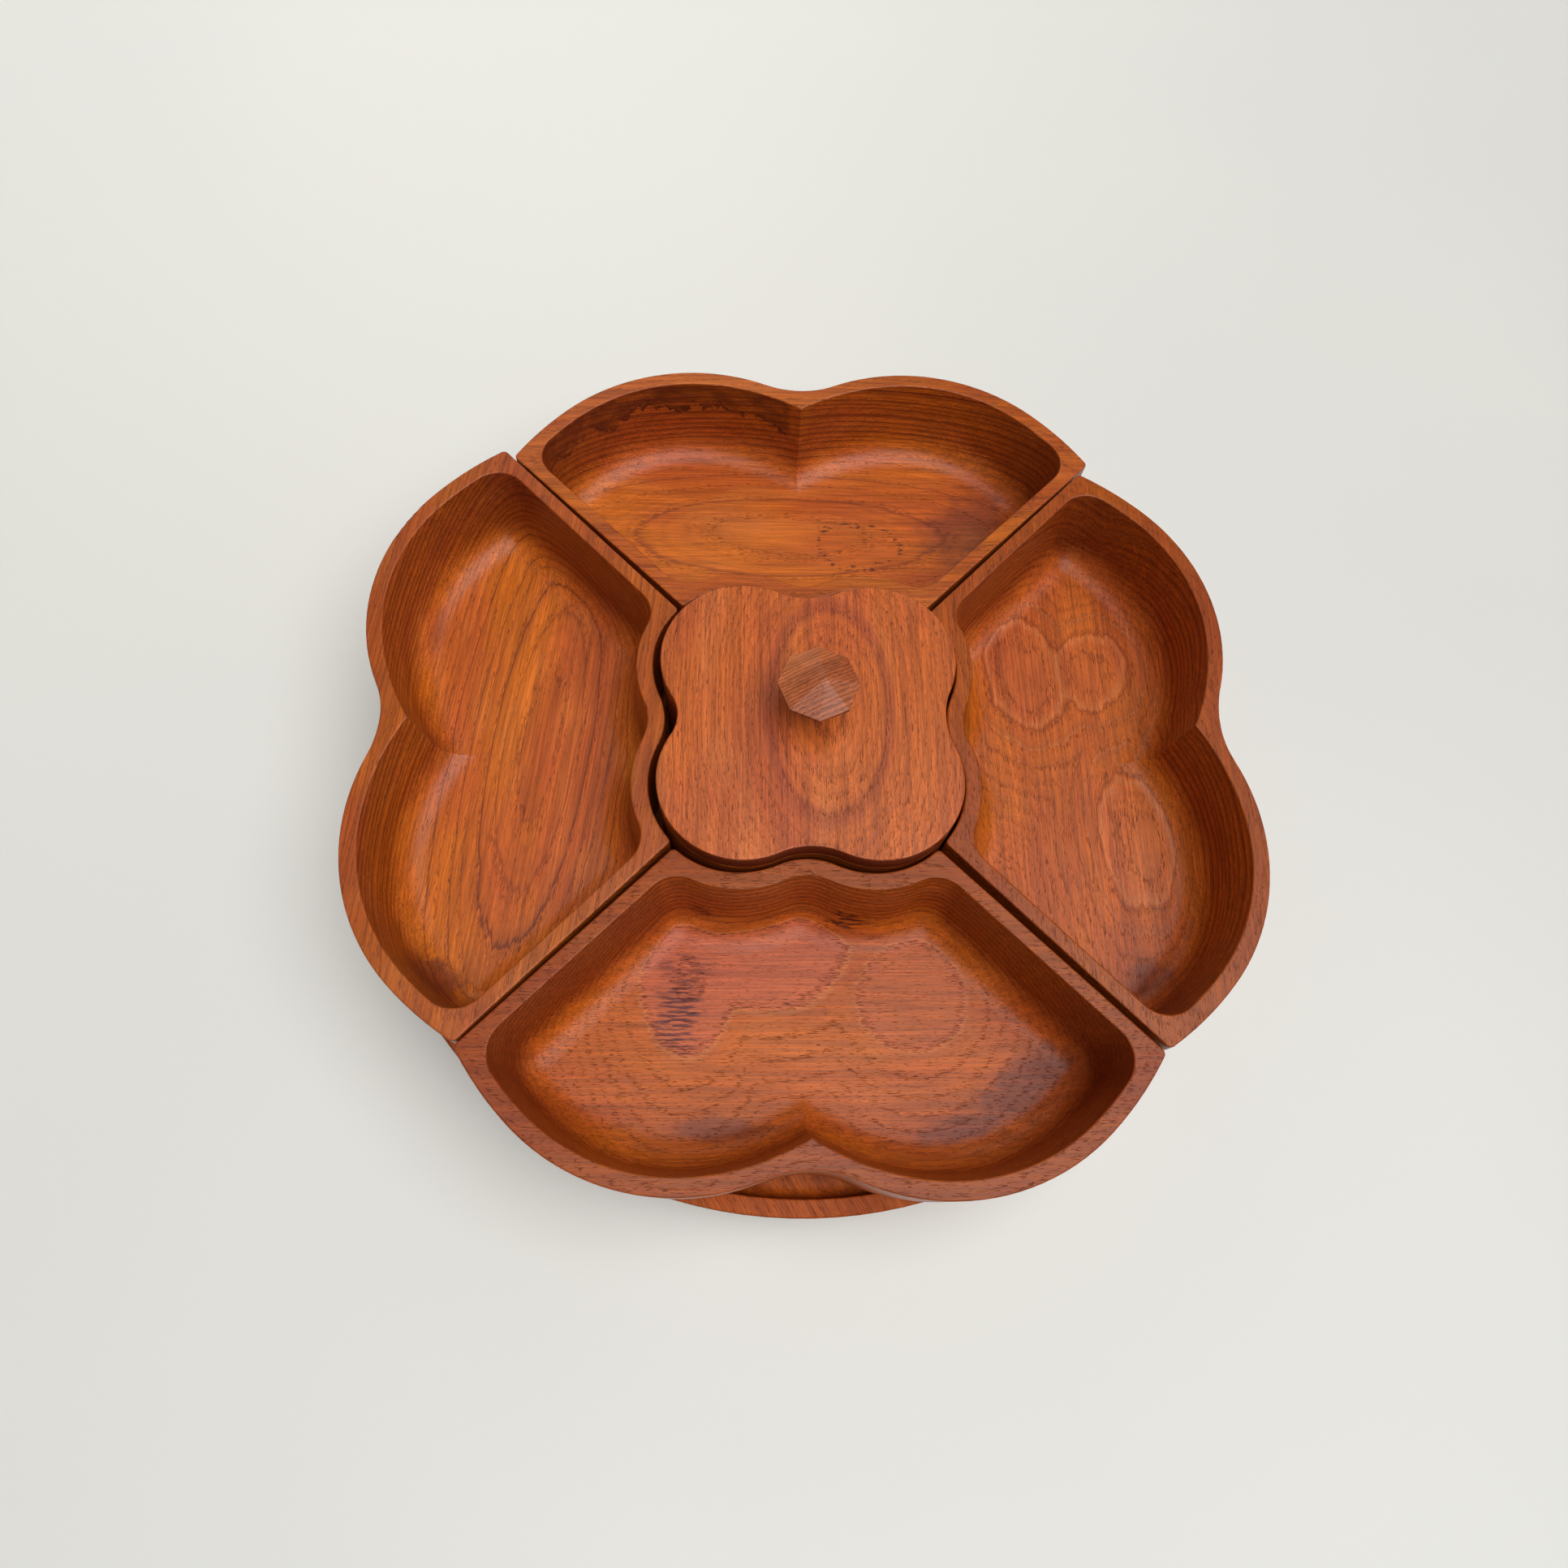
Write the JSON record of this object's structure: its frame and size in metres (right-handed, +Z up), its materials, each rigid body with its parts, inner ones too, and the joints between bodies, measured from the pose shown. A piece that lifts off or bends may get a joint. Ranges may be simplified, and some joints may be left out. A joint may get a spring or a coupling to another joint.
{
  "type": "lazy susan turntable",
  "caption": "Round wooden turntable tray on a ball-bearing base, with lift-out carved dishes in a flower shape around a lidded four-lobed centre box.",
  "frame": {"origin": "on the turning axis, at the bottom of the feet, which stand on z = 0", "axes": "+Z up along the turning axis; -Y towards the front dish, +X towards the right dish"},
  "size_m": [0.3969, 0.397, 0.1273],
  "materials": {
    "teak_tray": "oiled satin",
    "teak_dish_front": "oiled satin",
    "teak_dish_right": "oiled satin",
    "teak_dish_back": "oiled satin",
    "teak_dish_left": "oiled satin",
    "teak_box": "oiled satin",
    "teak_lid": "oiled satin",
    "knob_wood": "oiled satin, darker striped wood",
    "teak_base": "oiled satin",
    "foot_rubber": "matte",
    "screw_steel": "zinc plated",
    "plate_steel": "zinc plated pressed sheet",
    "ball_steel": "polished",
    "cage_plastic": "moulded"
  },
  "bodies": {
    "base": {"base": "teak_base", "feet": "foot_rubber", "foot_screws": "screw_steel", "lower_plate": "plate_steel", "lower_screws": "screw_steel"},
    "cage": {"ball_cage": "cage_plastic", "balls": "ball_steel"},
    "tray": {"tray": "teak_tray", "upper_plate": "plate_steel", "upper_screws": "screw_steel", "collar": "plate_steel"},
    "dish_front": {"dish_front": "teak_dish_front"},
    "dish_right": {"dish_right": "teak_dish_right"},
    "dish_back": {"dish_back": "teak_dish_back"},
    "dish_left": {"dish_left": "teak_dish_left"},
    "box": {"box": "teak_box"},
    "lid": {"lid": "teak_lid", "knob": "knob_wood", "knob_screw": "screw_steel"}
  },
  "joints": [
    {"name": "tray_spin", "type": "hinge", "parent": "base", "child": "tray", "pos_m": [0, 0, 0.022], "axis": [0, 0, 1], "continuous": true},
    {"name": "cage_spin", "type": "hinge", "parent": "base", "child": "cage", "pos_m": [0, 0, 0.022], "axis": [0, 0, 1], "continuous": true},
    {"name": "dish_front_lift", "type": "slide", "parent": "tray", "child": "dish_front", "axis": [0, 0, 1], "range_m": [0, 0.07]},
    {"name": "dish_right_lift", "type": "slide", "parent": "tray", "child": "dish_right", "axis": [0, 0, 1], "range_m": [0, 0.07]},
    {"name": "dish_back_lift", "type": "slide", "parent": "tray", "child": "dish_back", "axis": [0, 0, 1], "range_m": [0, 0.07]},
    {"name": "dish_left_lift", "type": "slide", "parent": "tray", "child": "dish_left", "axis": [0, 0, 1], "range_m": [0, 0.07]},
    {"name": "box_lift", "type": "slide", "parent": "tray", "child": "box", "axis": [0, 0, 1], "range_m": [0, 0.07]},
    {"name": "lid_lift", "type": "slide", "parent": "box", "child": "lid", "axis": [0, 0, 1], "range_m": [0, 0.06]}
  ],
  "couplings": [
    {"joint": "cage_spin", "follows": "tray_spin", "ratio": 0.5}
  ]
}
